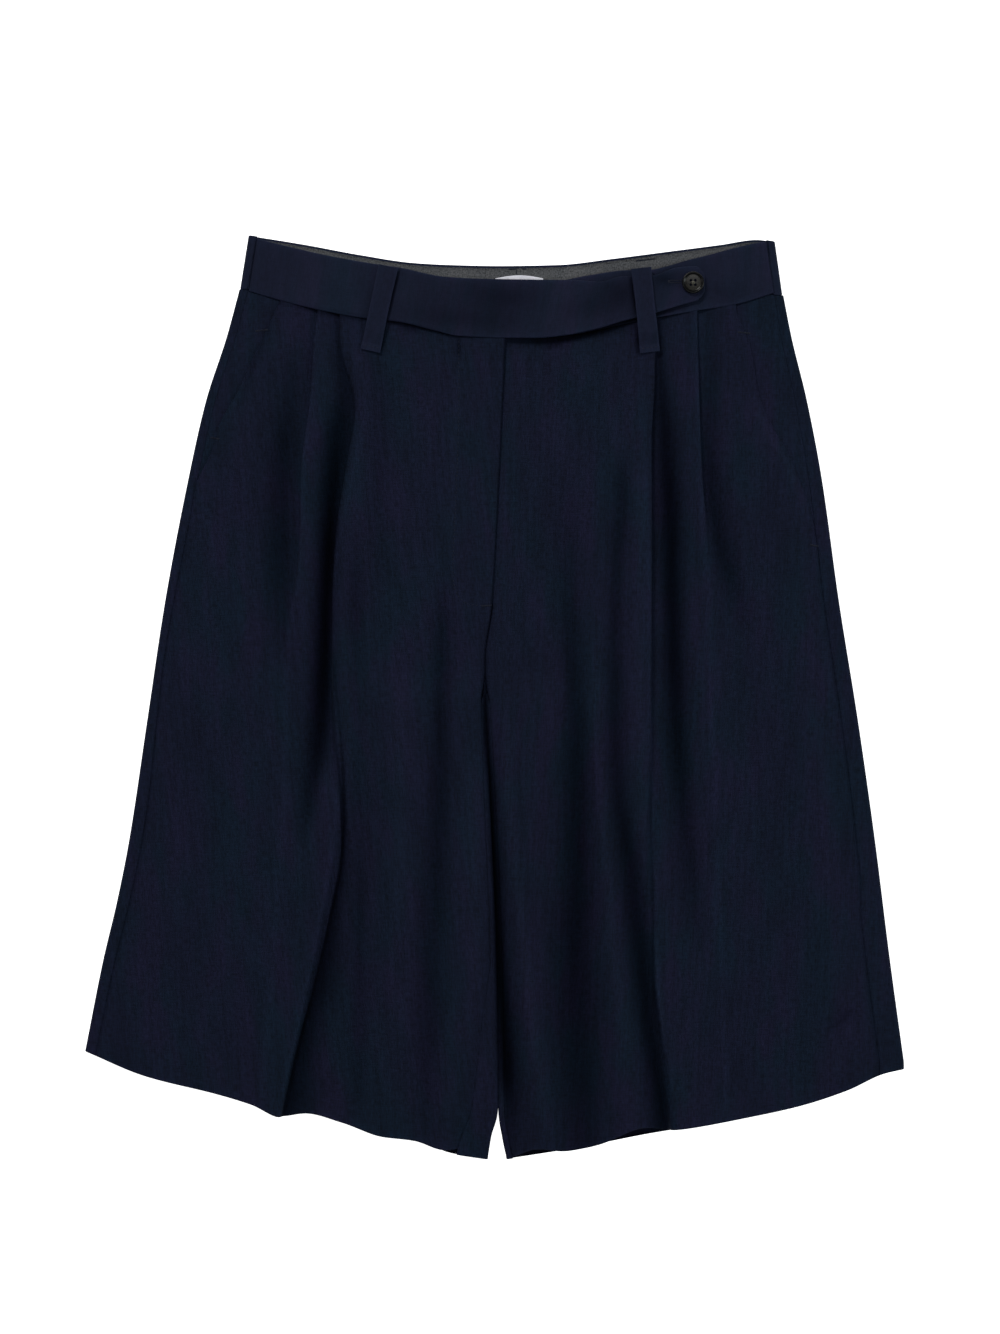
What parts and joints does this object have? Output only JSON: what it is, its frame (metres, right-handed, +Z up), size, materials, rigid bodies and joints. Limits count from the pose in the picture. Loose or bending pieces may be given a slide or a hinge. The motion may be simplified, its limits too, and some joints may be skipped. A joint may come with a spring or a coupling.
{
  "type": "bermuda shorts",
  "caption": "Pleated wide-leg tailored bermuda shorts laid flat, with a tab waistband, belt loops and slant pockets.",
  "frame": {"origin": "on the surface that the garment lies on, at the middle of its outline", "axes": "+Y to the waist along the length, +Z up through the front, +X to the wearer's left"},
  "size_m": [0.5392, 0.6081, 0.0156],
  "materials": {
    "suiting": "matte",
    "waistband": "matte",
    "facing": "matte",
    "label": "satin",
    "zip_tape": "matte",
    "button": "satin"
  },
  "bodies": {
    "root": {"back_left": "suiting", "back_right": "suiting", "belt_loop_back_centre": "waistband", "belt_loop_back_left": "waistband", "belt_loop_back_right": "waistband", "belt_loop_front_left": "waistband", "belt_loop_front_right": "waistband", "button": "button", "fly_underlap": "suiting", "fly_zip": "zip_tape", "front_left": "suiting", "front_right": "suiting", "label": "label", "pocket_facing_left": "suiting", "pocket_facing_right": "suiting", "waistband_back": "waistband", "waistband_facing": "facing", "waistband_left": "waistband", "waistband_right": "waistband"}
  },
  "joints": []
}
